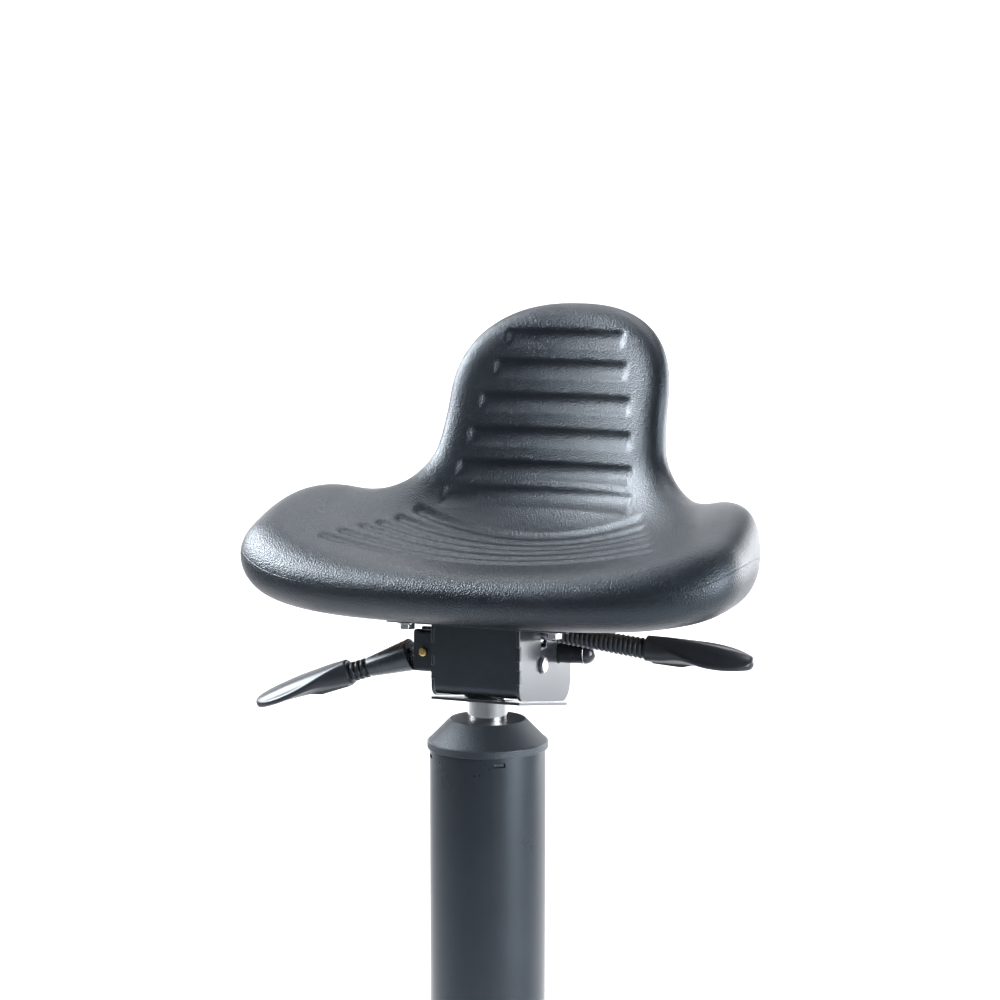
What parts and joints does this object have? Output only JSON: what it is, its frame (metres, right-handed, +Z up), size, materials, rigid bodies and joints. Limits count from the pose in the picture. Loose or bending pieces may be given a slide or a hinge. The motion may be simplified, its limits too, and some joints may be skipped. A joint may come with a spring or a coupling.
{
  "type": "sit-stand stool",
  "caption": "Height-adjustable sit-stand stool: dished moulded seat with a low back, tilt box with levers, gas-spring column in a telescopic cover, star base on glides.",
  "frame": {"origin": "floor under the column axis", "axes": "+Z up along the column, -Y the way the sitter faces, +X to the viewer's right in front of the stool"},
  "size_m": [0.5956, 0.5686, 0.6774],
  "materials": {
    "black_nylon": "fine moulded grain",
    "glide_plastic": "smooth hard plastic",
    "zinc_steel": "bright zinc plate",
    "black_steel": "black coat",
    "white_bush": "natural acetal",
    "ground_rod": "ground",
    "piston_alloy": "turned",
    "black_rubber": "matte",
    "cover_plastic": "smooth satin",
    "cap_plastic": "fine spark texture",
    "chrome": "mirror",
    "brass_pin": "plain",
    "brass_insert": "plain",
    "lever_plastic": "semi-gloss",
    "box_paint": "black powder coat",
    "plywood": "plain",
    "seat_skin": "grained integral skin"
  },
  "bodies": {
    "base": {"star_base": "black_nylon", "floor_glides": "glide_plastic", "glide_stems": "zinc_steel", "stand_tube": "black_steel", "guide_bush": "white_bush", "piston_rod": "ground_rod", "piston": "piston_alloy", "thrust_bearing": "zinc_steel", "rubber_buffer": "black_rubber", "retaining_clip": "zinc_steel", "lower_sleeve": "cover_plastic"},
    "middle_cover": {"middle_sleeve": "cover_plastic"},
    "column_cover": {"upper_sleeve": "cover_plastic", "cone_cap": "cap_plastic"},
    "swivel": {"gas_cylinder": "chrome", "rod_guide": "black_rubber", "taper_socket": "black_steel", "carrier": "black_steel", "pivot_bar": "zinc_steel", "pivot_caps": "cap_plastic", "pivot_washers": "white_bush", "brake_plate": "zinc_steel", "lever_bracket": "cap_plastic", "lever_pin": "brass_pin"},
    "release_pin": {"release_pin": "zinc_steel"},
    "height_lever": {"height_lever_arm": "zinc_steel", "height_lever_boot": "lever_plastic", "height_lever_handle": "lever_plastic"},
    "seat": {"box_front": "box_paint", "left_side_plate": "box_paint", "right_side_plate": "box_paint", "bottom_plate": "box_paint", "top_plate": "box_paint", "pivot_bushes": "white_bush", "stop_studs": "zinc_steel", "stud_washers": "zinc_steel", "cam_bracket": "box_paint", "cam_pin": "zinc_steel", "brake_pad": "black_rubber", "seat_bolts": "zinc_steel", "bolt_washers": "zinc_steel", "threaded_inserts": "brass_insert", "insert_plate": "plywood", "back_stiffener": "black_steel", "seat_pad": "seat_skin"},
    "tilt_lever": {"tilt_lever_arm": "zinc_steel", "tilt_lever_handle": "lever_plastic"}
  },
  "joints": [
    {"name": "lift", "type": "slide", "parent": "base", "child": "column_cover", "axis": [0, 0, 1], "range_m": [0, 0.2]},
    {"name": "middle_stage", "type": "slide", "parent": "base", "child": "middle_cover", "axis": [0, 0, 1], "range_m": [0, 0.1]},
    {"name": "swivel", "type": "hinge", "parent": "column_cover", "child": "swivel", "pos_m": [0, 0, 0.4], "axis": [0, 0, 1], "continuous": true},
    {"name": "seat_tilt", "type": "hinge", "parent": "swivel", "child": "seat", "pos_m": [0, 0.0545, 0.439], "axis": [1, 0, 0], "range_deg": [-4, 6]},
    {"name": "height_lever", "type": "hinge", "parent": "swivel", "child": "height_lever", "pos_m": [-0.044, 0, 0.445], "axis": [0, 1, 0], "range_deg": [0, 3.5], "stiffness_Nm_per_rad": 2, "springref_deg": -5.73},
    {"name": "release_press", "type": "slide", "parent": "swivel", "child": "release_pin", "axis": [0, 0, -1], "range_m": [0, 0.003]},
    {"name": "tilt_lever", "type": "hinge", "parent": "seat", "child": "tilt_lever", "pos_m": [0.017, 0.0235, 0.4575], "axis": [0, 1, 0], "range_deg": [0, 8]}
  ],
  "couplings": [
    {"joint": "middle_stage", "follows": "lift", "ratio": 0.5},
    {"joint": "release_press", "follows": "height_lever", "m_per_rad": 0.047}
  ]
}
